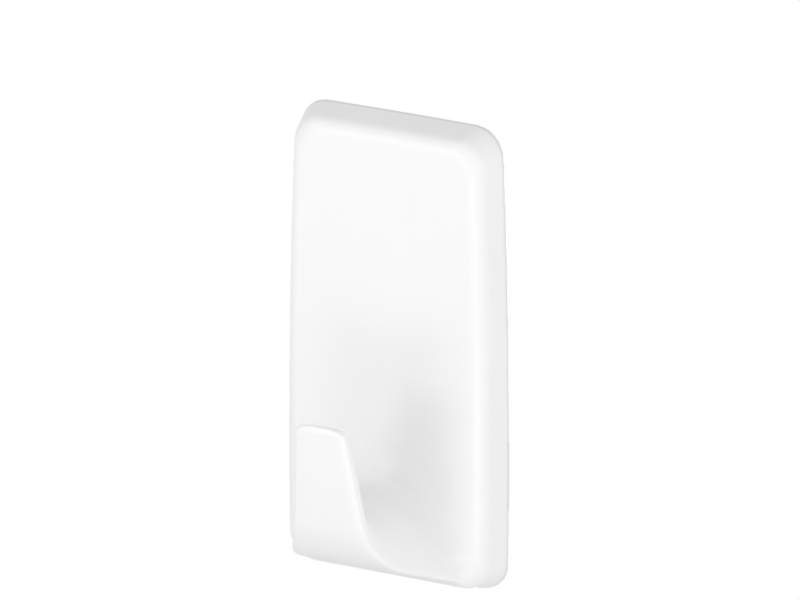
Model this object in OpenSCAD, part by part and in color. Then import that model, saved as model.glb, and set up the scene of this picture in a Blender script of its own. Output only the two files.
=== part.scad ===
// Adhesive wall hook. A moulded cover with a hook slides down over a base plate,
// and a stretch-release strip bonds the base plate to the wall.
// The wall is the plane y = 0, the front faces -Y and +Z is up. Sizes are in millimetres.

/* [Cover] */
// Width of the cover at its widest
cover_w = 29; // [27:0.5:40]
// Height of the cover
cover_h = 58; // [50:1:80]
// Height of the widest place above the bottom edge
widest_up = 15; // [8:1:25]
// How far each side draws in from the widest place to the top
top_narrowing = 1; // [0:0.1:1.5]
// How far each side draws in from the widest place to the bottom
bottom_narrowing = 0.1; // [0:0.1:1]
// Rise of the top edge in its middle
top_bow = 0.2; // [0:0.1:1]
// Radius of the cover's corners at its rim, seen from the front
corner_r = 3.6; // [2.8:0.1:5]
// Radius of the corners of the cover's flat front face
front_corner_r = 3.4; // [1.2:0.1:4]
// Radius of the round along the front edge
edge_r = 1.7; // [0.8:0.1:2]
// How far the sides lean in between the rim and the front edge
side_draft = 0.8; // [0.3:0.1:1.2]
// Thickness of the front wall
front_wall = 1.6; // [1.2:0.1:2.5]
// Least thickness of the side walls beside the slot
side_wall = 1.1; // [0.8:0.1:2]
// Thickness of the top wall, which rests on the base plate
top_wall = 2.2; // [1.4:0.1:3]
// Gap between the cover's rim and the wall
rim_gap = 0.4; // [0.2:0.1:1]

/* [Hook] */
// How far the tip stands in front of the cover's front face
hook_reach = 16.3; // [12:0.5:25]
// Height of the tip above the cover's bottom edge
tip_up = 24.7; // [20:0.1:30]
// Height of the hook's seat above the cover's bottom edge
seat_up = 12.5; // [10:0.1:14]
// Height of the underside above the cover's bottom edge, at the front face
underside_up = 1.8; // [1:0.1:3]
// Rise of the underside towards the front, in degrees
underside_rise = 22; // [10:1:30]
// Forward lean of the tongue, in degrees
tongue_lean = 10; // [0:1:15]
// Thickness of the tongue at its tip
tip_t = 2; // [1.8:0.1:3]
// Width of the tongue at its tip
tip_w = 6.8; // [5:0.2:9]
// Gain in half width for each millimetre from the tip to the root
taper = 0.085; // [0.05:0.005:0.15]
// Gain of each side where the narrow tongue meets the broad nose below it
shoulder = 1.5; // [0.5:0.1:3]
// Distance of the shoulder from the hook's root, along its outer face
shoulder_at = 15; // [13:0.1:18]
// Length over which the shoulder rounds off
shoulder_length = 1.3; // [0.6:0.1:2.5]
// Flare of each side where the hook leaves the cover
flare = 3.2; // [1:0.1:4]
// Length over which the flare dies away
flare_length = 6; // [3:0.5:9]
// Outside radius of the bend
bend_r = 9; // [4:0.5:11]
// Inside radius at the back of the seat
seat_back_r = 1.2; // [0.8:0.1:3]
// Inside radius at the front of the seat
seat_front_r = 4; // [2:0.25:5]
// Radius of the tip's rounded edge, seen from the side
tip_r = 0.5; // [0.3:0.05:0.7]
// Rounding of the tip's corners, seen from the front
tip_corner_r = 0.9; // [0.4:0.1:1.5]
// Fall of the tip's edge towards the back, in degrees
tip_bevel = 17; // [0:1:25]
// Rise of the tip's middle above its corners
tip_arch = 0.7; // [0:0.1:1.5]
// Height of the hook's side edges above its outer face
edge_up = 0.9; // [0.5:0.1:1.1]
// Height of those edges where the hook leaves the cover
root_edge_up = 0.35; // [0.2:0.05:1]
// Wall of the hook where it is cored out from behind
hook_wall = 2; // [1.6:0.1:3]

/* [Base plate] */
// Thickness of the slab that the strip holds
slab_t = 1.2; // [0.9:0.1:2]
// Thickness of the flanges that the cover slides on
flange_t = 1.2; // [0.9:0.1:2]
// Overlap of the cover's lips behind each flange
lip_overlap = 1.3; // [0.8:0.1:2]
// Gap between the cover and the base plate all round
slide_gap = 0.2; // [0.1:0.05:0.4]
// Chamfer on the base plate's upper corners
lead_in = 1.6; // [0.5:0.1:2.5]
// Radius of the thumb notch above the pull tab
notch_r = 5; // [3:0.5:7]
// Length of each retaining bump
bump_l = 7; // [3:0.5:9]
// Height of each retaining bump
bump_h = 0.12; // [0.05:0.01:0.15]

/* [Strip] */
// Thickness of the strip
strip_t = 0.8; // [0.5:0.1:1.5]
// Margin of the base plate round the strip
strip_margin = 0.5; // [0.2:0.1:2]
// Length of the pull tab below the base plate
tab_l = 9; // [6:0.5:11]
// Free room below the pull tab, inside the cover
tab_room = 3; // [1:0.5:5]
// Thickness of each tab film
film_t = 0.1; // [0.05:0.05:0.15]
// Setback of each film from the strip's face
film_setback = 0.05; // [0.02:0.01:0.1]
// Radius of the tab's corners
tab_r = 3; // [1:0.5:5]

/* [Hidden] */
$fn = 48;

// Distances in front of the wall
lip_front = strip_t + slab_t - slide_gap;
flange_back = strip_t + slab_t;
flange_front = flange_back + flange_t;
slot_front = flange_front + slide_gap;
cover_front = slot_front + front_wall;

// Half widths of the slot and of the base plate
slot_half = cover_w / 2 - top_narrowing - side_draft - side_wall;
flange_half = slot_half - slide_gap;
lip_half = flange_half - lip_overlap;
slab_half = lip_half - slide_gap;
strip_half = slab_half - strip_margin;

// Heights, measured from the cover's middle
cover_top = cover_h / 2;
cover_bottom = -cover_h / 2;
base_top = cover_top - top_wall;
base_bottom = cover_bottom + tab_room + tab_l;
widest_z = cover_bottom + widest_up;

// Steps that draw the round shapes
corner_steps = 7;
side_steps = 10;
end_steps = 4;
edge_steps = 6;
hook_steps = 26;
ring_steps = 36;
tip_steps = 4;
through = 1;

// Solid skin over a list of rings that all have the same number of points
module loft(rings) {
    n = len(rings[0]);
    last = (len(rings) - 1) * n;
    points = [for (ring = rings) each ring];
    sides = [for (i = [0:len(rings) - 2], j = [0:n - 1])
        let (a = i * n + j, b = i * n + (j + 1) % n)
        each [[a, b + n, b], [a, a + n, b + n]]];
    ends = [[for (j = [0:n - 1]) j], [for (j = [n - 1:-1:0]) last + j]];
    polyhedron(points, concat(ends, sides));
}

// How far a side has drawn in at a height
function narrowing(z) = z > widest_z
    ? top_narrowing * pow((z - widest_z) / (cover_top - widest_z), 2)
    : bottom_narrowing * pow((widest_z - z) / (widest_z - cover_bottom), 2);

// Rounded rectangle, counter-clockwise from the lower right corner's end
function rectangle(half_w, half_h, r) = concat(
    [for (i = [0:side_steps - 1]) [half_w, -(half_h - r) + 2 * (half_h - r) * i / side_steps]],
    [for (i = [0:corner_steps - 1]) let (a = 90 * i / corner_steps)
        [half_w - r + r * cos(a), half_h - r + r * sin(a)]],
    [for (i = [0:end_steps - 1]) [half_w - r - 2 * (half_w - r) * i / end_steps, half_h]],
    [for (i = [0:corner_steps - 1]) let (a = 90 + 90 * i / corner_steps)
        [-(half_w - r) + r * cos(a), half_h - r + r * sin(a)]],
    [for (i = [0:side_steps - 1]) [-half_w, half_h - r - 2 * (half_h - r) * i / side_steps]],
    [for (i = [0:corner_steps - 1]) let (a = 180 + 90 * i / corner_steps)
        [-(half_w - r) + r * cos(a), -(half_h - r) + r * sin(a)]],
    [for (i = [0:end_steps - 1]) [-(half_w - r) + 2 * (half_w - r) * i / end_steps, -half_h]],
    [for (i = [0:corner_steps - 1]) let (a = 270 + 90 * i / corner_steps)
        [half_w - r + r * cos(a), -(half_h - r) + r * sin(a)]]);

// Lean of the cover's sides, and the inset of its flat front face from its rim
draft = atan(side_draft / (cover_front - edge_r - rim_gap));
face_inset = edge_r * cos(draft) + tan(draft) * (cover_front - edge_r * (1 - sin(draft)) - rim_gap);

// Outline of the cover, inset from its rim, at a distance in front of the wall
function cover_ring(inset, front) =
    let (half_w = cover_w / 2 - inset, r = corner_r + (front_corner_r - corner_r) * inset / face_inset)
    [for (p = rectangle(half_w, cover_h / 2 - inset, r))
        let (x = p[0] * (half_w - narrowing(p[1])) / half_w)
        [x, -front, p[1] + (p[1] > 0 ? top_bow * (1 - pow(x / half_w, 2)) : 0)]];

// Cover without its slot: sides that lean in and run into the round along the front edge
module cover_body() {
    loft(concat(
        [cover_ring(0, rim_gap)],
        [for (i = [0:edge_steps]) let (a = draft + (90 - draft) * i / edge_steps)
            cover_ring(face_inset - edge_r * cos(a), cover_front - edge_r + edge_r * sin(a))]));
}

// Points of a path of straight runs whose inner corners are rounded, in [front, z]
function unit(v) = v / norm(v);
function corner_arc(p, q, s, r) =
    let (u = unit(p - q), v = unit(s - q), half = acos(u * v) / 2, reach = r / tan(half))
    let (centre = q + unit(u + v) * r / sin(half), from = q + u * reach - centre, to = q + v * reach - centre)
    [for (i = [0:corner_steps]) let (k = i / corner_steps) centre + r * unit(from * (1 - k) + to * k)];
function rounded_path(points, radii) = concat(
    [points[0]],
    [for (i = [1:len(points) - 2]) each corner_arc(points[i - 1], points[i], points[i + 1], radii[i - 1])],
    [points[len(points) - 1]]);

// Point at a share of a path's length
function lengths(path, i = 1, sum = 0) = i == len(path)
    ? [sum]
    : concat([sum], lengths(path, i + 1, sum + norm(path[i] - path[i - 1])));
function along(path, share) =
    let (run = lengths(path), s = share * run[len(run) - 1])
    [lookup(s, [for (i = [0:len(run) - 1]) [run[i], path[i][0]]]),
     lookup(s, [for (i = [0:len(run) - 1]) [run[i], path[i][1]]])];

// Side view of the hook: its outer path runs under it and up its front, its inner path lines the seat
root_share = 0.6;
seat_start = 1.3;
root_depth = front_wall * root_share;
root_front = cover_front - root_depth;
root = [root_front, cover_bottom + underside_up - root_depth * tan(underside_rise)];
tip = [cover_front + hook_reach, cover_bottom + tip_up];
corner_front = (tip[0] - (tip[1] - root[1] + root[0] * tan(underside_rise)) * tan(tongue_lean))
    / (1 - tan(underside_rise) * tan(tongue_lean));
corner = [corner_front, root[1] + (corner_front - root[0]) * tan(underside_rise)];
seat_z = cover_bottom + seat_up;
tip_back = tip - tip_t * [1, tan(tip_bevel)];
seat_front = tip_back[0] - (tip_back[1] - seat_z) * tan(tongue_lean) - tip_t / 2;
outer_path = rounded_path([root, corner, tip], [bend_r]);
inner_path = rounded_path(
    [[root_front, seat_z + seat_back_r * seat_start], [cover_front, seat_z], [seat_front, seat_z], tip_back],
    [seat_back_r, seat_front_r]);
outer_run = lengths(outer_path);
hook_length = outer_run[len(outer_run) - 1];
function half_width(share) =
    let (run = share * hook_length)
    tip_w / 2 + taper * (hook_length - run)
    + shoulder / (1 + exp((run - shoulder_at) / shoulder_length))
    + flare * exp(-run / flare_length);

// Smooth rise from 0 to 1 over a span
function ease(v, span) =
    let (t = min(max((v - span[0]) / (span[1] - span[0]), 0), 1))
    t * t * (3 - 2 * t);

// Cross-section at a share of the hook's length: rounded outside, arched on the side of the seat
nose_power = 5.5;
tongue_power = 7;
outer_change = [0.45, 0.8];
root_power = 1.5;
tip_power = 2.4;
inner_rise = 1.1;
edge_change = [0.25, 0.6];
edge_limit = 0.5;
function power(v, p) = sign(v) * pow(abs(v), p);
function section(outer, inner, half_w, share) =
    let (outer_power = nose_power + (tongue_power - nose_power) * ease(share, outer_change))
    let (inner_power = root_power + (tip_power - root_power) * pow(share, inner_rise))
    let (edge = root_edge_up + (edge_up - root_edge_up) * ease(share, edge_change))
    let (level = min(edge / norm(inner - outer), edge_limit))
    [for (i = [0:ring_steps - 1])
        let (a = 360 * i / ring_steps, upper = a < 180, e = 2 / (upper ? inner_power : outer_power))
        let (x = half_w * power(cos(a), e), rise = power(sin(a), e))
        let (p = outer + (inner - outer) * (upper ? level + (1 - level) * rise : level * (1 + rise)))
        [x, -p[0], p[1]]];

// Ring whose sides drop below its middle, most of all at the tip
arch_change = [0.75, 1];
arch_power = 4;
function arched(ring, share) =
    [for (p = ring) let (drop = tip_arch * ease(share, arch_change) * pow(p[0] / (tip_w / 2), arch_power))
        p + drop * [0, sin(tongue_lean), -cos(tongue_lean)]];

module hook() {
    tip_way = [sin(tongue_lean), cos(tongue_lean)];
    rings = [for (i = [0:hook_steps]) let (share = i / hook_steps)
        arched(section(along(outer_path, share), along(inner_path, share), half_width(share), share), share)];
    round_end = [for (i = [1:tip_steps])
        let (a = 90 * i / tip_steps, inset = tip_r * (1 - cos(a)), way = tip_way * tip_r * sin(a))
        let (across = unit(tip_back - tip) * inset, half_w = tip_w / 2 - tip_corner_r * (1 - cos(a)))
        arched(section(tip + way + across, tip_back + way - across, half_w, 1), 1)];
    loft(concat(rings, round_end));
}

// Hollow behind the hook that keeps its walls even
core_share = 0.5;
core_steps = 12;
core_side = 1.4;
module hook_core() {
    function core_ring(share, back) =
        let (o = along(outer_path, share), n = along(inner_path, share), u = unit(n - o) * hook_wall)
        section(o + u - [back, 0], n - u - [back, 0], half_width(share) - hook_wall * core_side, share);
    loft(concat(
        [core_ring(0, front_wall + through)],
        [for (i = [0:core_steps]) core_ring(core_share * i / core_steps, 0)]));
}

// Box between two distances in front of the wall, centred across, between two heights
module slab(half_w, from, to, low, high) {
    translate([-half_w, -to, low]) cube([2 * half_w, to - from, high - low]);
}

// Slot for the base plate, open at the bottom and at the back, flared at its mouth
mouth_h = 2;
mouth_flare = 0.6;
module cover_slot() {
    slab(slot_half, lip_front, slot_front, cover_bottom - through, base_top);
    slab(lip_half, -through, lip_front + through / 2, cover_bottom - through, base_top);
    hull() {
        slab(slot_half, lip_front, slot_front, cover_bottom + mouth_h, cover_bottom + mouth_h + through);
        slab(slot_half + mouth_flare, lip_front, slot_front, cover_bottom - through, cover_bottom);
    }
    hull() {
        slab(lip_half, -through, lip_front, cover_bottom + mouth_h, cover_bottom + mouth_h + through);
        slab(lip_half + mouth_flare, -through, lip_front, cover_bottom - through, cover_bottom);
    }
}

// Low ribs on the slot's front face that steady the base plate
rib_h = slide_gap / 2;
rib_r = 0.5;
rib_count = 6;
module guide_ribs() {
    pitch = 2 * flange_half / rib_count;
    for (i = [0:rib_count - 1])
        hull()
            for (z = [base_bottom + notch_r * 2, base_top - lead_in * 2])
                translate([(i - (rib_count - 1) / 2) * pitch, -slot_front + rib_h, z])
                    rotate([90, 0, 0]) cylinder(r = rib_r, h = rib_h + front_wall / 2, $fn = 16);
}

module hook_cover() {
    color("white") {
        difference() {
            union() {
                cover_body();
                hook();
            }
            cover_slot();
            hook_core();
        }
        guide_ribs();
    }
}

// Front view of the base plate, chamfered where it enters the slot
module base_outline(half_w) {
    polygon([
        [-half_w, base_bottom], [half_w, base_bottom], [half_w, base_top - lead_in],
        [half_w - lead_in, base_top], [-half_w + lead_in, base_top], [-half_w, base_top - lead_in]]);
}

module base_plate() {
    bump_r = flange_t / 2;
    color("gainsboro") {
        difference() {
            union() {
                translate([0, -strip_t, 0]) rotate([90, 0, 0])
                    linear_extrude(slab_t) base_outline(slab_half);
                translate([0, -flange_back, 0]) rotate([90, 0, 0])
                    linear_extrude(flange_t) base_outline(flange_half);
            }
            translate([0, -strip_t + through, base_bottom]) rotate([90, 0, 0])
                cylinder(r = notch_r, h = slab_t + flange_t + 2 * through);
        }
        translate([0, bump_r - bump_h - flange_front, base_bottom + notch_r + 2 * bump_r]) rotate([0, 90, 0])
            cylinder(r = bump_r, h = bump_l, center = true);
    }
}

// Front view of the pull tab
tab_bottom = base_bottom - tab_l;
module tab_outline() {
    difference() {
        translate([-strip_half, tab_bottom]) square([2 * strip_half, tab_l]);
        for (s = [-1, 1])
            translate([s * (strip_half - tab_r), tab_bottom + tab_r])
                difference() {
                    translate([s > 0 ? 0 : -tab_r - through, -tab_r - through])
                        square([tab_r + through, tab_r + through]);
                    circle(r = tab_r);
                }
    }
}

// Sheet of the tab's outline between two distances in front of the wall
module tab_sheet(from, to) {
    translate([0, -from, 0]) rotate([90, 0, 0]) linear_extrude(to - from) tab_outline();
}

film_in = film_setback + film_t;
module adhesive_strip() {
    color("whitesmoke") {
        slab(strip_half, 0, strip_t, base_bottom, base_top - strip_margin);
        tab_sheet(film_in, strip_t - film_in);
    }
}

module tab_film_front() {
    color("lightsteelblue") tab_sheet(strip_t - film_in, strip_t - film_setback);
}

module tab_film_rear() {
    color("lightsteelblue") tab_sheet(film_setback, film_in);
}

hook_cover();
base_plate();
adhesive_strip();
tab_film_front();
tab_film_rear();
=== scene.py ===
"""Adhesive wall hook: a white moulded cover with its hook, the base plate that the cover
slides down over, and the stretch strip with its pull tab that bonds the base plate to a wall."""

import math

import bmesh
import bpy
import numpy as np
import openvdb
from mathutils import Matrix, Vector


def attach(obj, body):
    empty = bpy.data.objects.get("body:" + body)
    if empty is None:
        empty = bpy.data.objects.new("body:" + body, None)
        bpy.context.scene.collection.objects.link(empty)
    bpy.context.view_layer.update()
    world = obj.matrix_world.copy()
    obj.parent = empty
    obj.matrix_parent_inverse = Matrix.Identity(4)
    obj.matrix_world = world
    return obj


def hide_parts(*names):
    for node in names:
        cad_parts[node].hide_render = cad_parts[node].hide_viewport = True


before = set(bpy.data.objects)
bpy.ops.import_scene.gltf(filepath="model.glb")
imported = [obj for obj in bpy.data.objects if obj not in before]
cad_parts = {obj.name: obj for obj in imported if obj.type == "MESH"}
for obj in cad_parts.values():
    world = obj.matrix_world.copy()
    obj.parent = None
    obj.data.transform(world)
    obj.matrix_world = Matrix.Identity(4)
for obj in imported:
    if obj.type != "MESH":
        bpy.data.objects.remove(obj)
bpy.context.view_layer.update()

# Sizes in millimetres, as in the part's source. "front" is a distance in front of the wall.
COVER_W, COVER_H = 29.0, 58.0
WIDEST_UP, TOP_NARROWING, BOTTOM_NARROWING, TOP_BOW = 15.0, 1.0, 0.1, 0.2
CORNER_R, FRONT_CORNER_R, EDGE_R, SIDE_DRAFT = 3.6, 3.4, 1.7, 0.8
FRONT_WALL, SIDE_WALL, TOP_WALL, RIM_GAP = 1.6, 1.1, 2.2, 0.4
HOOK_REACH, TIP_UP, SEAT_UP = 16.3, 24.7, 12.5
UNDERSIDE_UP, UNDERSIDE_RISE, TONGUE_LEAN = 1.8, math.radians(22), math.radians(10)
TIP_T, TIP_W, TAPER, FLARE, FLARE_LENGTH = 2.0, 6.8, 0.085, 3.2, 6.0
SHOULDER, SHOULDER_AT, SHOULDER_LENGTH = 1.5, 15.0, 1.3
BEND_R, SEAT_BACK_R, SEAT_FRONT_R, TIP_R, TIP_CORNER_R = 9.0, 1.2, 4.0, 0.5, 0.9
ROOT_EDGE, TONGUE_EDGE = 0.35, 0.9
TIP_ARCH, TIP_BEVEL, HOOK_WALL = 0.7, math.radians(17), 2.0
SLAB_T, FLANGE_T, LIP_OVERLAP, SLIDE_GAP, STRIP_T = 1.2, 1.2, 1.3, 0.2, 0.8
MOUTH_H, MOUTH_FLARE = 2.0, 0.6
RIB_COUNT, RIB_R, RIB_LOW, RIB_HIGH = 6, 0.5, -7.0, 23.6

# Metres in a millimetre
MM = 0.001

# How far solids run past each other before one is cut by another; the last is in mouth heights
BEHIND_WALL, SLOT_OVERLAP, CORE_BACK, FLARE_LIMIT = 1.2, 0.5, 1.0, 2

# The hook's root in the front wall and above the seat, and the core's length and side walls,
# as multiples of that wall, the seat's back radius, the hook's length and the hook's wall
ROOT_SHARE, SEAT_START, CORE_SHARE, CORE_SIDE = 0.6, 1.3, 0.5, 1.4

# How the hook's cross-section changes from its root to its tip; spans are shares of its length
ROOT_POWER, TIP_POWER, INNER_RISE = 1.5, 2.4, 1.1
NOSE_POWER, TONGUE_POWER, OUTER_CHANGE = 5.5, 7.0, (0.45, 0.8)
EDGE_CHANGE, EDGE_LIMIT = (0.25, 0.6), 0.5
ARCH_CHANGE, ARCH_POWER = (0.75, 1.0), 4

# Soft, moulded blends between the cover's solids
RIM_ROUND, SLOT_ROUND, CORE_ROUND, RIB_ROUND = 0.4, 0.3, 0.5, 0.2
LOW_BLEND, BLEND_GAIN, BLEND_RISE = 0.6, 3.0, (2.5, 6.0)

# Where the painted highlight on the cover's rounded front edges begins and the painted shade on its rear
# rim ends, in front of the wall
HIGHLIGHT_SPAN, RIM_SHADE_SPAN = (1.0, 2.5), (0.7, 1.4)

# Rounds on the pieces behind the cover, and what tells which of their edges get one
BASE_ROUND, BASE_ROUND_STEPS = 0.15, 3
STRIP_ROUND, STRIP_ROUND_STEPS = 0.06, 2
MERGE_DISTANCE, STANDS_OUT = 1e-7, 0.01
FLAT_ANGLE, SHARP_ANGLE, ROUND_ANGLE = math.radians(0.5), math.radians(20), math.radians(42)

LIP_FRONT = STRIP_T + SLAB_T - SLIDE_GAP
SLOT_FRONT = STRIP_T + SLAB_T + FLANGE_T + SLIDE_GAP
COVER_FRONT = SLOT_FRONT + FRONT_WALL
SLOT_HALF = COVER_W / 2 - TOP_NARROWING - SIDE_DRAFT - SIDE_WALL
LIP_HALF = SLOT_HALF - SLIDE_GAP - LIP_OVERLAP
COVER_TOP, COVER_BOTTOM = COVER_H / 2, -COVER_H / 2
BASE_TOP = COVER_TOP - TOP_WALL
WIDEST_Z = COVER_BOTTOM + WIDEST_UP
DRAFT = math.atan(SIDE_DRAFT / (COVER_FRONT - EDGE_R - RIM_GAP))
FACE_INSET = EDGE_R * math.cos(DRAFT) + math.tan(DRAFT) * (
    COVER_FRONT - EDGE_R * (1 - math.sin(DRAFT)) - RIM_GAP
)

# One grid of points over the cover: their spacing, and how far from a skin distances are measured
VOXEL = 0.2
BAND = 4.0
GRID_LOW = np.array([-79, -114, -154])
GRID_START = tuple(int(v) for v in GRID_LOW)
GRID_SHAPE = (159, 122, 309)
GRID_X, GRID_Y, GRID_Z = np.meshgrid(
    *[(GRID_LOW[k] + np.arange(GRID_SHAPE[k], dtype=np.float32)) * VOXEL for k in range(3)],
    indexing="ij",
    sparse=True,
)


def ease(v, low, high):
    """Smooth rise from 0 at low to 1 at high."""
    t = np.clip((v - low) / (high - low), 0, 1)
    return t * t * (3 - 2 * t)


# Shape of the cover

def narrowing(z):
    """How far each side of the cover has drawn in at height z."""
    up = TOP_NARROWING * ((z - WIDEST_Z) / (COVER_TOP - WIDEST_Z)) ** 2
    down = BOTTOM_NARROWING * ((WIDEST_Z - z) / (WIDEST_Z - COVER_BOTTOM)) ** 2
    return np.where(z > WIDEST_Z, up, down)


def rounded_rectangle(half_w, half_h, r, corner=24, side=80, end=36):
    """Outline in x and z, counter-clockwise from the start of the upper right corner."""
    inner_w, inner_h = half_w - r, half_h - r
    runs = []
    for centre, start, far, steps in (
        ((inner_w, inner_h), 0, (-inner_w, half_h), end),
        ((-inner_w, inner_h), 90, (-half_w, -inner_h), side),
        ((-inner_w, -inner_h), 180, (inner_w, -half_h), end),
        ((inner_w, -inner_h), 270, (half_w, inner_h), side),
    ):
        a = np.radians(start + 90 * np.arange(corner) / corner)
        runs.append(np.stack([centre[0] + r * np.cos(a), centre[1] + r * np.sin(a)], 1))
        a = math.radians(start + 90)
        near = np.array([centre[0] + r * math.cos(a), centre[1] + r * math.sin(a)])
        share = (np.arange(steps) / steps)[:, None]
        runs.append(near * (1 - share) + np.array(far) * share)
    return np.concatenate(runs)


def cover_ring(inset, front):
    """Outline of the cover, inset from its rim, at a distance in front of the wall."""
    half_w = COVER_W / 2 - inset
    r = CORNER_R + (FRONT_CORNER_R - CORNER_R) * inset / FACE_INSET
    outline = rounded_rectangle(half_w, COVER_H / 2 - inset, r)
    x, z = outline.T
    x = x * (half_w - narrowing(z)) / half_w
    z = z + np.where(z > 0, TOP_BOW * (1 - (x / half_w) ** 2), 0)
    return np.stack([x, np.full_like(x, -front), z], 1)


def cover_rings(steps=18):
    """Sides that lean in from the rim and run into the round along the front edge."""
    rounded = [
        cover_ring(FACE_INSET - EDGE_R * math.cos(a), COVER_FRONT - EDGE_R + EDGE_R * math.sin(a))
        for a in np.linspace(DRAFT, math.pi / 2, steps + 1)
    ]
    return [cover_ring(-math.tan(DRAFT) * (RIM_GAP + BEHIND_WALL), -BEHIND_WALL)] + rounded


# Shape of the hook, drawn in side view as [front, z]

def unit(v):
    """Vector of the same direction, one long."""
    return v / np.linalg.norm(v)


def corner_arc(p, q, s, r, steps=24):
    """Arc of radius r that rounds the corner at q between p and s."""
    u, v = unit(p - q), unit(s - q)
    half = math.acos(float(u @ v)) / 2
    centre = q + unit(u + v) * r / math.sin(half)
    start, stop = q + u * r / math.tan(half) - centre, q + v * r / math.tan(half) - centre
    return [centre + r * unit(start * (1 - k) + stop * k) for k in np.linspace(0, 1, steps + 1)]


def rounded_path(points, radii):
    """Path through the points, with a round of each radius at the corners between its ends."""
    points = [np.array(p, float) for p in points]
    path = [points[0]]
    for i, r in enumerate(radii):
        path += corner_arc(points[i], points[i + 1], points[i + 2], r)
    return np.array(path + [points[-1]])


def run_of(path):
    """Length along the path up to each of its points."""
    return np.concatenate([[0], np.cumsum(np.linalg.norm(np.diff(path, axis=0), axis=1))])


def along(path, share):
    """Point at a share of the path's length."""
    run = run_of(path)
    return np.array([np.interp(share * run[-1], run, path[:, k]) for k in range(2)])


ROOT_DEPTH = FRONT_WALL * ROOT_SHARE
ROOT_FRONT = COVER_FRONT - ROOT_DEPTH
ROOT = np.array([ROOT_FRONT, COVER_BOTTOM + UNDERSIDE_UP - ROOT_DEPTH * math.tan(UNDERSIDE_RISE)])
TIP = np.array([COVER_FRONT + HOOK_REACH, COVER_BOTTOM + TIP_UP])
CORNER_FRONT = (
    TIP[0] - (TIP[1] - ROOT[1] + ROOT[0] * math.tan(UNDERSIDE_RISE)) * math.tan(TONGUE_LEAN)
) / (1 - math.tan(UNDERSIDE_RISE) * math.tan(TONGUE_LEAN))
CORNER = [CORNER_FRONT, ROOT[1] + (CORNER_FRONT - ROOT[0]) * math.tan(UNDERSIDE_RISE)]
SEAT_Z = COVER_BOTTOM + SEAT_UP
TIP_BACK = TIP - TIP_T * np.array([1, math.tan(TIP_BEVEL)])
SEAT_FRONT = TIP_BACK[0] - (TIP_BACK[1] - SEAT_Z) * math.tan(TONGUE_LEAN) - TIP_T / 2
OUTER_PATH = rounded_path([ROOT, CORNER, TIP], [BEND_R])
SEAT_BACK = [ROOT_FRONT, SEAT_Z + SEAT_BACK_R * SEAT_START]
INNER_PATH = rounded_path(
    [SEAT_BACK, [COVER_FRONT, SEAT_Z], [SEAT_FRONT, SEAT_Z], TIP_BACK],
    [SEAT_BACK_R, SEAT_FRONT_R],
)
HOOK_LENGTH = run_of(OUTER_PATH)[-1]


def half_width(share):
    """Half the hook's width: a slow taper, broader below the shoulder and flared at the root."""
    run = share * HOOK_LENGTH
    flare = FLARE * math.exp(-run / FLARE_LENGTH)
    shoulder = SHOULDER / (1 + math.exp((run - SHOULDER_AT) / SHOULDER_LENGTH))
    return TIP_W / 2 + TAPER * (HOOK_LENGTH - run) + shoulder + flare


def inner_power(share):
    """How squarely the seat side is arched, least of all at the root."""
    return ROOT_POWER + (TIP_POWER - ROOT_POWER) * share**INNER_RISE


def outer_power(share):
    """How squarely the outside is rounded: softly under the nose, tightly along the tongue."""
    return NOSE_POWER + (TONGUE_POWER - NOSE_POWER) * ease(share, *OUTER_CHANGE)


def edge_height(share):
    """Height of the side edges above the outer face."""
    return ROOT_EDGE + (TONGUE_EDGE - ROOT_EDGE) * ease(share, *EDGE_CHANGE)


def hook_section(outer, inner, half_w, share, steps=240):
    """Cross-section of the hook: rounded outside, arched on the side of the seat."""
    a = 2 * np.pi * np.arange(steps) / steps
    upper = a < np.pi
    e = 2 / np.where(upper, inner_power(share), outer_power(share))
    x = half_w * np.sign(np.cos(a)) * np.abs(np.cos(a)) ** e
    rise = np.sign(np.sin(a)) * np.abs(np.sin(a)) ** e
    level = min(edge_height(share) / np.linalg.norm(inner - outer), EDGE_LIMIT)
    k = np.where(upper, level + (1 - level) * rise, level * (1 + rise))[:, None]
    p = outer + (inner - outer) * k
    return np.stack([x, -p[:, 0], p[:, 1]], 1)


def hook_rings(steps=150, tip_steps=12):
    """Sections from the root to the tip, then the round over the tip, whose ends are arched down."""
    tip_way = np.array([math.sin(TONGUE_LEAN), math.cos(TONGUE_LEAN)])
    rings = [
        hook_section(along(OUTER_PATH, s), along(INNER_PATH, s), half_width(s), s)
        for s in np.linspace(0, 1, steps + 1)
    ]
    for a in np.linspace(0, math.pi / 2, tip_steps + 1)[1:]:
        inset, way = TIP_R * (1 - math.cos(a)), tip_way * TIP_R * math.sin(a)
        across = unit(TIP_BACK - TIP) * inset
        narrowed = TIP_W / 2 - TIP_CORNER_R * (1 - math.cos(a))
        rings.append(hook_section(TIP + way + across, TIP_BACK + way - across, narrowed, 1.0))
    for k, ring in enumerate(rings):
        drop = TIP_ARCH * ease(k / steps, *ARCH_CHANGE) * (ring[:, 0] / (TIP_W / 2)) ** ARCH_POWER
        ring[:, 1] += drop * tip_way[0]
        ring[:, 2] -= drop * tip_way[1]
    return rings


def core_rings(steps=60):
    """Hollow behind the hook that keeps its walls even."""

    def ring(share, back):
        outer, inner = along(OUTER_PATH, share), along(INNER_PATH, share)
        wall, behind = unit(inner - outer) * HOOK_WALL, np.array([back, 0])
        half_w = half_width(share) - HOOK_WALL * CORE_SIDE
        return hook_section(outer + wall - behind, inner - wall - behind, half_w, share)

    start = ring(0, FRONT_WALL + CORE_BACK)
    return [start] + [ring(s, 0) for s in np.linspace(0, CORE_SHARE, steps + 1)]


# Solids as distances on one grid, so that they can be joined with soft, moulded blends

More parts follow.
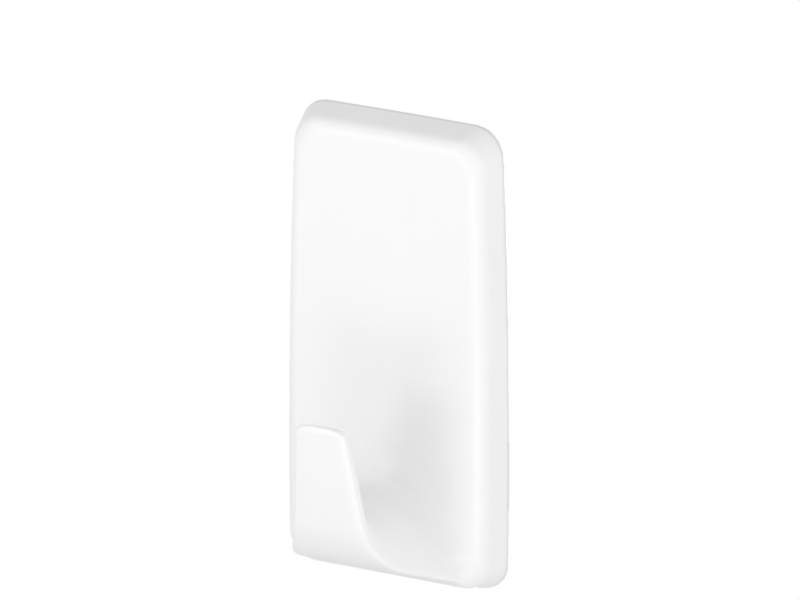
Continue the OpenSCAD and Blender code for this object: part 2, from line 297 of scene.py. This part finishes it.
def distance_to_loft(rings):
    """Distance to the skin over a list of rings, in millimetres, below zero inside."""
    rings = np.array(rings)
    count, n, _ = rings.shape
    points = np.concatenate([rings.reshape(-1, 3), [rings[0].mean(0), rings[-1].mean(0)]])
    i, j = np.meshgrid(np.arange(count - 1), np.arange(n), indexing="ij")
    a, b = (i * n + j).ravel(), (i * n + (j + 1) % n).ravel()
    quads = np.stack([a, b, b + n, a + n], 1)
    j, k = np.arange(n), (np.arange(n) + 1) % n
    first, last = np.full(n, count * n), np.full(n, count * n + 1)
    top = (count - 1) * n
    ends = np.concatenate([np.stack([first, k, j], 1), np.stack([last, top + j, top + k], 1)])
    solid = openvdb.FloatGrid.createLevelSetFromPolygons(
        points.astype(np.float32),
        triangles=ends.astype(np.uint32),
        quads=quads.astype(np.uint32),
        transform=openvdb.createLinearTransform(VOXEL),
        halfWidth=BAND / VOXEL,
    )
    distances = np.empty(GRID_SHAPE, np.float32)
    solid.copyToArray(distances, ijk=GRID_START)
    return distances


def soft_join(a, b, r):
    """Both solids as one, with a fillet of about r between them."""
    h = np.maximum(r - np.abs(a - b), 0) / r
    return np.minimum(a, b) - h * h * r / 4


def soft_cut(a, b, r):
    """Solid a with b taken out of it, and the edges rounded by about r."""
    return -soft_join(-a, b, r)


def slot_distance():
    """T-shaped slot for the base plate, open at the back and at the bottom, flared at its mouth."""
    flare = MOUTH_FLARE * np.clip((COVER_BOTTOM + MOUTH_H - GRID_Z) / MOUTH_H, 0, FLARE_LIMIT)
    front, side, above = -GRID_Y, np.abs(GRID_X), GRID_Z - BASE_TOP
    depth = np.abs(front - (LIP_FRONT + SLOT_FRONT) / 2) - (SLOT_FRONT - LIP_FRONT) / 2
    wide = np.maximum(np.maximum(side - SLOT_HALF - flare, above), depth)
    narrow = np.maximum(np.maximum(side - LIP_HALF - flare, above), front - LIP_FRONT - SLOT_OVERLAP)
    return np.minimum(wide, narrow)


def rib_distance():
    """Low ribs on the slot's front face that steady the base plate."""
    pitch = 2 * (SLOT_HALF - SLIDE_GAP) / RIB_COUNT
    nearest = np.clip(np.round(GRID_X / pitch - 0.5), -RIB_COUNT / 2, RIB_COUNT / 2 - 1) + 0.5
    beyond = np.maximum(np.abs(GRID_Z - (RIB_LOW + RIB_HIGH) / 2) - (RIB_HIGH - RIB_LOW) / 2, 0)
    round_rib = np.hypot(GRID_X - nearest * pitch, beyond) - RIB_R
    depth = np.abs(-GRID_Y - SLOT_FRONT - FRONT_WALL / 4) - FRONT_WALL / 4 - SLIDE_GAP / 2
    return np.maximum(round_rib, depth)


def edges_of(solid, points, reach=3):
    """How strongly the skin is rounded outwards at each point: 0 on the flat, 1 on a tight edge."""
    bend = np.zeros_like(solid)
    for axis in range(3):
        bend += np.roll(solid, reach, axis) + np.roll(solid, -reach, axis) - 2 * solid
    bend /= (reach * VOXEL) ** 2
    i, j, k = np.round(points / VOXEL - GRID_LOW).astype(int).T
    return np.clip(bend[i, j, k], 0, 1)


def moulded_cover():
    """Cover and hook as one moulding, with the slot, the core and the ribs behind."""
    blend = LOW_BLEND + BLEND_GAIN * ease(GRID_Z - COVER_BOTTOM, *BLEND_RISE)
    body = soft_cut(distance_to_loft(cover_rings()), -GRID_Y - RIM_GAP, RIM_ROUND)
    solid = soft_join(body, distance_to_loft(hook_rings()), blend)
    solid = soft_cut(solid, slot_distance(), SLOT_ROUND)
    solid = soft_cut(solid, distance_to_loft(core_rings()), CORE_ROUND)
    solid = soft_join(solid, rib_distance(), RIB_ROUND)
    skin = openvdb.FloatGrid(BAND)
    skin.transform = openvdb.createLinearTransform(VOXEL)
    skin.copyFromArray(np.ascontiguousarray(solid, dtype=np.float32), ijk=GRID_START)
    points, triangles, quads = skin.convertToPolygons(isovalue=0.0, adaptivity=0.0)
    mesh = bpy.data.meshes.new("cover_with_hook")
    mesh.from_pydata((points * MM).tolist(), [], quads.tolist() + triangles.tolist())
    bm = bmesh.new()
    bm.from_mesh(mesh)
    if bm.calc_volume(signed=True) < 0:
        bmesh.ops.reverse_faces(bm, faces=bm.faces)
    bm.to_mesh(mesh)
    bm.free()
    mesh.shade_smooth()
    # Point layers for the finish: a painted highlight on the rounded edges at the front, and painted
    # shade on the rounded rim at the back
    edges, front = edges_of(solid, points), -points[:, 1]
    for name, share in (("painted_highlight", ease(front, *HIGHLIGHT_SPAN)), ("rim", 1 - ease(front, *RIM_SHADE_SPAN))):
        layer = mesh.attributes.new(name, "FLOAT", "POINT")
        layer.data.foreach_set("value", (edges * share).astype(np.float32))
    piece = bpy.data.objects.new("cover_with_hook", mesh)
    bpy.context.scene.collection.objects.link(piece)
    return piece


# Pieces behind the cover, with the small rounds that moulding and cutting leave

def rounded_copy(node, name, width, segments, front):
    """Copy of a CAD node with its sharp edges rounded, except on what stands out past its front."""
    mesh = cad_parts[node].data.copy()
    mesh.name = name
    bm = bmesh.new()
    bm.from_mesh(mesh)
    bmesh.ops.remove_doubles(bm, verts=bm.verts, dist=MERGE_DISTANCE)
    bmesh.ops.dissolve_limit(bm, angle_limit=FLAT_ANGLE, verts=bm.verts, edges=bm.edges)
    rounding = bm.edges.layers.float.new("bevel_weight_edge")
    limit = -(front + STANDS_OUT) * MM
    standing_out = {face for face in bm.faces if min(v.co.y for v in face.verts) < limit}
    for face in bm.faces:
        face.smooth = True
    for edge in bm.edges:
        bend = edge.calc_face_angle()
        edge.smooth = bend < SHARP_ANGLE
        edge[rounding] = float(bend > ROUND_ANGLE and standing_out.isdisjoint(edge.link_faces))
    bm.to_mesh(mesh)
    bm.free()
    piece = bpy.data.objects.new(name, mesh)
    bpy.context.scene.collection.objects.link(piece)
    bevel = piece.modifiers.new("edge_round", "BEVEL")
    bevel.width, bevel.segments = width * MM, segments
    bevel.limit_method = "WEIGHT"
    bevel.harden_normals = True
    return piece


cover = moulded_cover()
base_front = STRIP_T + SLAB_T + FLANGE_T
base = rounded_copy("base_plate", "moulded_base_plate", BASE_ROUND, BASE_ROUND_STEPS, base_front)
strip = rounded_copy("adhesive_strip", "stretch_strip", STRIP_ROUND, STRIP_ROUND_STEPS, STRIP_T)

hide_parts("hook_cover")
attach(cover, "cover")
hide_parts("base_plate")
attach(base, "wall_side")
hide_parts("adhesive_strip")
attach(strip, "wall_side")


# Finishes

def node_group(name, inputs, outputs):
    """New shader node group with named number sockets, and its input and output nodes."""
    group = bpy.data.node_groups.new(name, "ShaderNodeTree")
    for label, value in inputs:
        socket = group.interface.new_socket(label, in_out="INPUT", socket_type="NodeSocketFloat")
        socket.default_value = value
    for label in outputs:
        group.interface.new_socket(label, in_out="OUTPUT", socket_type="NodeSocketFloat")
    return group, group.nodes.new("NodeGroupInput"), group.nodes.new("NodeGroupOutput")


def add(tree, kind, links=(), **values):
    """Adds a node, sets its named properties and inputs, and links what feeds it."""
    node = tree.nodes.new(kind)
    for key, value in values.items():
        setattr(node, key, value)
    for socket, source in links:
        if isinstance(source, bpy.types.NodeSocket):
            tree.links.new(source, node.inputs[socket])
        else:
            node.inputs[socket].default_value = source
    return node


def millimetre_place(tree, size):
    """Object coordinates divided by a feature size in millimetres."""
    place = add(tree, "ShaderNodeTexCoord")
    scale = add(tree, "ShaderNodeMath", [(0, 1 / MM), (1, size)], operation="DIVIDE")
    links = [(0, place.outputs["Object"]), ("Scale", scale.outputs[0])]
    return add(tree, "ShaderNodeVectorMath", links, operation="SCALE").outputs[0]


def make_mould_grain():
    """Fine eroded texture of a mould's steel: a height for bump and a mask of its hollows."""
    inputs = [("Grain Size", 0.2), ("Softness", 0.5)]
    group, given, result = node_group("mould_grain", inputs, ["Height", "Hollows"])
    place = millimetre_place(group, given.outputs["Grain Size"])
    links = [("Vector", place), ("Smoothness", given.outputs["Softness"])]
    pits = add(group, "ShaderNodeTexVoronoi", links, feature="SMOOTH_F1")
    haze = add(group, "ShaderNodeTexNoise", [("Vector", place), ("Scale", 0.45), ("Detail", 3.0)])
    uneven = haze.outputs["Fac"]
    links = [(0, pits.outputs["Distance"]), (1, uneven), (2, uneven)]
    height = add(group, "ShaderNodeMath", links, operation="MULTIPLY_ADD")
    links = [("Value", height.outputs[0]), ("From Min", 0.45), ("From Max", 1.05)]
    hollows = add(group, "ShaderNodeMapRange", links)
    group.links.new(height.outputs[0], result.inputs["Height"])
    group.links.new(hollows.outputs[0], result.inputs["Hollows"])
    return group


def make_flow_haze():
    """Slow uneven sheen that the melt leaves as it fills a mould."""
    group, given, result = node_group("flow_haze", [("Patch Size", 9.0), ("Stretch", 2.0)], ["Haze"])
    place = millimetre_place(group, given.outputs["Patch Size"])
    split = add(group, "ShaderNodeSeparateXYZ", [(0, place)])
    links = [(0, split.outputs["Z"]), (1, given.outputs["Stretch"])]
    long = add(group, "ShaderNodeMath", links, operation="DIVIDE")
    links = [("X", split.outputs["X"]), ("Y", split.outputs["Y"]), ("Z", long.outputs[0])]
    drawn = add(group, "ShaderNodeCombineXYZ", links)
    links = [("Vector", drawn.outputs[0]), ("Scale", 1.0), ("Detail", 4.0), ("Distortion", 0.6)]
    haze = add(group, "ShaderNodeTexNoise", links)
    group.links.new(haze.outputs["Fac"], result.inputs["Haze"])
    return group


mould_grain = make_mould_grain()
flow_haze = make_flow_haze()


def new_finish(name):
    """New material, its node tree and its shader."""
    finish = bpy.data.materials.new(name)
    finish.use_nodes = True
    tree = finish.node_tree
    return finish, tree, tree.nodes["Principled BSDF"]


def group_node(tree, group, **values):
    """Places a node group in a material with its own values."""
    node = tree.nodes.new("ShaderNodeGroup")
    node.node_tree = group
    for key, value in values.items():
        node.inputs[key.replace("_", " ")].default_value = value
    return node


# Places of the colour sockets on a mix node
MIX_FIRST, MIX_SECOND, MIX_RESULT = 6, 7, 2


def mixed_colour(tree, share, first, second):
    """Socket of a mix between two colours, each given as numbers or as a socket."""
    mix = add(tree, "ShaderNodeMix", [("Factor", share)], data_type="RGBA")
    for place, colour in ((MIX_FIRST, first), (MIX_SECOND, second)):
        if isinstance(colour, bpy.types.NodeSocket):
            tree.links.new(colour, mix.inputs[place])
        else:
            mix.inputs[place].default_value = (*colour, 1)
    return mix.outputs[MIX_RESULT]


def raise_surface(tree, shader, height, millimetres):
    """Bump of the given height on a shader."""
    links = [("Strength", 1.0), ("Distance", millimetres * MM), ("Height", height)]
    bump = add(tree, "ShaderNodeBump", links)
    tree.links.new(bump.outputs[0], shader.inputs["Normal"])


# How much the haze dulls the plastic, and how much glossier the edges under the painted highlight are
# made
HAZE_DULLS, HIGHLIGHT_GLOSS = 0.6, 0.3


def moulded_plastic(name, pale, deep, rough, grain_size, bump, edge=None, painted_rim_shade=None):
    """Satin moulded plastic with fine grain and a slow change of shade and sheen. Where they are
    given, a paler edge colour along rounded front edges is a painted highlight and a darker
    rim colour is painted shade, each following a point layer of the mesh."""
    finish, tree, shader = new_finish(name)
    grain = group_node(tree, mould_grain, Grain_Size=grain_size, Softness=0.6)
    haze = group_node(tree, flow_haze, Patch_Size=11.0, Stretch=2.4)
    colour = mixed_colour(tree, haze.outputs["Haze"], pale, deep)
    links = [(0, haze.outputs["Haze"]), (1, HAZE_DULLS), (2, grain.outputs["Hollows"])]
    dull = add(tree, "ShaderNodeMath", links, operation="MULTIPLY_ADD")
    # Painted highlight: a paler colour, and less roughness, on the rounded front edges
    if edge:
        painted_highlight = add(tree, "ShaderNodeAttribute", attribute_name="painted_highlight").outputs["Fac"]
        colour = mixed_colour(tree, painted_highlight, colour, edge)
        links = [(0, painted_highlight), (1, -HIGHLIGHT_GLOSS), (2, dull.outputs[0])]
        dull = add(tree, "ShaderNodeMath", links, operation="MULTIPLY_ADD")
    # Painted shade: a darker colour along the rounded rim at the back
    if painted_rim_shade:
        rim = add(tree, "ShaderNodeAttribute", attribute_name="rim").outputs["Fac"]
        colour = mixed_colour(tree, rim, colour, painted_rim_shade)
    tree.links.new(colour, shader.inputs["Base Color"])
    links = [("Value", dull.outputs[0]), ("From Min", 0.2), ("From Max", 1.2)]
    links += [("To Min", rough[0]), ("To Max", rough[1])]
    roughness = add(tree, "ShaderNodeMapRange", links)
    tree.links.new(roughness.outputs[0], shader.inputs["Roughness"])
    raise_surface(tree, shader, grain.outputs["Height"], millimetres=bump)
    shader.inputs["IOR"].default_value = 1.5
    return finish


def strip_foam():
    """Soft foam adhesive: tiny cells in a mottled, slightly see-through body."""
    finish, tree, shader = new_finish("strip_adhesive")
    cells = group_node(tree, mould_grain, Grain_Size=0.32, Softness=0.2)
    mottle = group_node(tree, flow_haze, Patch_Size=2.2, Stretch=1.6)
    body = mixed_colour(tree, mottle.outputs["Haze"], (0.90, 0.89, 0.85), (0.83, 0.82, 0.77))
    pitted = mixed_colour(tree, cells.outputs["Hollows"], (0.80, 0.79, 0.74), body)
    tree.links.new(pitted, shader.inputs["Base Color"])
    links = [("Value", mottle.outputs["Haze"]), ("To Min", 0.3), ("To Max", 0.6)]
    tacky = add(tree, "ShaderNodeMapRange", links)
    tree.links.new(tacky.outputs[0], shader.inputs["Roughness"])
    raise_surface(tree, shader, cells.outputs["Height"], millimetres=0.012)
    shader.inputs["Subsurface Weight"].default_value = 0.2
    shader.inputs["Subsurface Radius"].default_value = (0.6 * MM, 0.55 * MM, 0.45 * MM)
    return finish


def drawn_film():
    """Thin glossy film with fine streaks along the direction in which it was drawn."""
    finish, tree, shader = new_finish("tab_film")
    streaks = group_node(tree, flow_haze, Patch_Size=0.22, Stretch=24.0)
    waves = group_node(tree, flow_haze, Patch_Size=5.0, Stretch=1.2)
    tint = mixed_colour(tree, streaks.outputs["Haze"], (0.70, 0.77, 0.86), (0.76, 0.82, 0.89))
    tree.links.new(tint, shader.inputs["Base Color"])
    links = [("Value", waves.outputs["Haze"]), ("To Min", 0.12), ("To Max", 0.34)]
    gloss = add(tree, "ShaderNodeMapRange", links)
    tree.links.new(gloss.outputs[0], shader.inputs["Roughness"])
    raise_surface(tree, shader, streaks.outputs["Haze"], millimetres=0.004)
    return finish


def put_on(piece, finish):
    """Gives a piece one finish."""
    piece.data.materials.clear()
    piece.data.materials.append(finish)


cover_plastic = moulded_plastic(
    "white_cover_plastic",
    pale=(0.93, 0.93, 0.93),
    deep=(0.915, 0.916, 0.918),
    rough=(0.28, 0.36),
    grain_size=0.16,
    bump=0.003,
    # Paler colour for the painted highlight on the rounded front edges
    edge=(0.955, 0.955, 0.955),
    # Darker colour for the painted shade along the rear rim
    painted_rim_shade=(0.75, 0.75, 0.745),
)
base_plastic = moulded_plastic(
    "base_plate_plastic",
    pale=(0.86, 0.86, 0.85),
    deep=(0.83, 0.83, 0.825),
    rough=(0.42, 0.55),
    grain_size=0.22,
    bump=0.005,
)
put_on(cover, cover_plastic)
put_on(base, base_plastic)
put_on(strip, strip_foam())
film_finish = drawn_film()
for name in ("tab_film_front", "tab_film_rear"):
    put_on(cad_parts[name], film_finish)


# Floor, light and camera

# The floor's height, half its width, and where it fades away, in metres
FLOOR_Z, FLOOR_HALF, FLOOR_FADE = -0.15, 1.0, (0.12, 0.3)


def make_floor():
    """Pale floor below the hook that fades into the white background and is clear from below."""
    corners = [(-1, -1), (1, -1), (1, 1), (-1, 1)]
    mesh = bpy.data.meshes.new("floor")
    mesh.from_pydata([(x * FLOOR_HALF, y * FLOOR_HALF, FLOOR_Z) for x, y in corners], [], [(0, 1, 2, 3)])
    floor = bpy.data.objects.new("floor", mesh)
    bpy.context.scene.collection.objects.link(floor)
    finish = bpy.data.materials.new("pale_floor")
    finish.use_nodes = True
    tree = finish.node_tree
    tree.nodes.clear()
    place = add(tree, "ShaderNodeTexCoord")
    links = [(0, place.outputs["Object"]), (1, (1, 1, 0))]
    away = add(tree, "ShaderNodeVectorMath", links, operation="MULTIPLY")
    reach = add(tree, "ShaderNodeVectorMath", [(0, away.outputs[0])], operation="LENGTH")
    links = [("Value", reach.outputs["Value"]), ("From Min", FLOOR_FADE[0]), ("From Max", FLOOR_FADE[1])]
    fade = add(tree, "ShaderNodeMapRange", links, interpolation_type="SMOOTHSTEP")
    under = add(tree, "ShaderNodeNewGeometry")
    links = [(0, fade.outputs[0]), (1, under.outputs["Backfacing"])]
    clear = add(tree, "ShaderNodeMath", links, operation="MAXIMUM")
    pale = add(tree, "ShaderNodeBsdfDiffuse", [("Color", (0.86, 0.86, 0.86, 1))])
    gone = add(tree, "ShaderNodeBsdfTransparent")
    links = [(0, clear.outputs[0]), (1, pale.outputs[0]), (2, gone.outputs[0])]
    mix = add(tree, "ShaderNodeMixShader", links)
    add(tree, "ShaderNodeOutputMaterial", [("Surface", mix.outputs[0])])
    mesh.materials.append(finish)


make_floor()


def lamp(name, azimuth, elevation, width, height, power):
    """Flat lamp one metre away, aimed at the hook; azimuth turns to the right of straight ahead."""
    a, e = math.radians(azimuth), math.radians(elevation)
    way = Vector((math.sin(a) * math.cos(e), -math.cos(a) * math.cos(e), math.sin(e)))
    light = bpy.data.lights.new(name, "AREA")
    light.shape = "RECTANGLE"
    light.size, light.size_y, light.energy = width, height, power
    lamp_object = bpy.data.objects.new(name, light)
    bpy.context.scene.collection.objects.link(lamp_object)
    lamp_object.location = way
    lamp_object.rotation_mode = "QUATERNION"
    lamp_object.rotation_quaternion = way.to_track_quat("Z", "Y")
    lamp_object.visible_camera = False


lamp("low_front_lamp", 0, -45, 1.0, 1.0, 6.5)
lamp("high_left_lamp", -30, 40, 1.0, 1.0, 1.95)
lamp("small_left_lamp", -20, 0, 0.3, 0.3, 1.08)
lamp("back_lamp", 180, -10, 0.5, 0.5, 2.0)


# Strength of the light from all around, and what is added towards the right
SOFT_LEVEL, RIGHT_GAIN = 0.47, 0.67


def make_world():
    """White for the camera and in reflections; soft light from all around, stronger from the right."""
    world = bpy.data.worlds.new("studio")
    bpy.context.scene.world = world
    world.use_nodes = True
    tree = world.node_tree
    tree.nodes.clear()
    path = add(tree, "ShaderNodeLightPath")
    links = [(0, path.outputs["Is Camera Ray"]), (1, path.outputs["Is Glossy Ray"])]
    seen = add(tree, "ShaderNodeMath", links, operation="MAXIMUM")
    links = [(0, seen.outputs[0]), (1, path.outputs["Is Transmission Ray"])]
    seen = add(tree, "ShaderNodeMath", links, operation="MAXIMUM")
    way = add(tree, "ShaderNodeTexCoord").outputs["Generated"]
    right = add(tree, "ShaderNodeVectorMath", [(0, way), (1, (1, 0, 0))], operation="DOT_PRODUCT")
    right = add(tree, "ShaderNodeMath", [(0, right.outputs["Value"]), (1, 0.0)], operation="MAXIMUM")
    links = [(0, right.outputs[0]), (1, RIGHT_GAIN), (2, SOFT_LEVEL)]
    level = add(tree, "ShaderNodeMath", links, operation="MULTIPLY_ADD")
    soft = add(tree, "ShaderNodeBackground", [("Color", (1, 1, 1, 1)), ("Strength", level.outputs[0])])
    white = add(tree, "ShaderNodeBackground", [("Color", (1, 1, 1, 1)), ("Strength", 1.0)])
    links = [(0, seen.outputs[0]), (1, soft.outputs[0]), (2, white.outputs[0])]
    mix = add(tree, "ShaderNodeMixShader", links)
    add(tree, "ShaderNodeOutputWorld", [("Surface", mix.outputs[0])])


make_world()


# The camera's angles, the point it looks at, its distance and the width it sees, in metres
CAMERA_RIGHT, CAMERA_UP = math.radians(28.3), math.radians(19.3)
CAMERA_AIM, AIM_RIGHT, AIM_UP = Vector((0, -0.0004, -0.0008)), -0.000374, 0.005936
CAMERA_DISTANCE, SEEN_WIDTH, FAR_LIMIT = 1.5, 0.09501, 20

# The sensor's width in millimetres
SENSOR = 36


def make_camera():
    """Long lens at the photograph's angle, a little to the right and above."""
    a, e = CAMERA_RIGHT, CAMERA_UP
    back = Vector((math.sin(a) * math.cos(e), -math.cos(a) * math.cos(e), math.sin(e)))
    right = Vector((math.cos(a), math.sin(a), 0))
    up = back.cross(right)
    aim = CAMERA_AIM + right * AIM_RIGHT + up * AIM_UP
    data = bpy.data.cameras.new("camera")
    data.sensor_width = SENSOR
    data.lens = SENSOR * CAMERA_DISTANCE / SEEN_WIDTH
    data.clip_end = FAR_LIMIT
    camera = bpy.data.objects.new("camera", data)
    bpy.context.scene.collection.objects.link(camera)
    turn = Matrix((right, up, back)).transposed().to_4x4()
    camera.matrix_world = Matrix.Translation(aim + back * CAMERA_DISTANCE) @ turn
    bpy.context.scene.camera = camera


make_camera()
bpy.context.scene.view_settings.view_transform = "Standard"
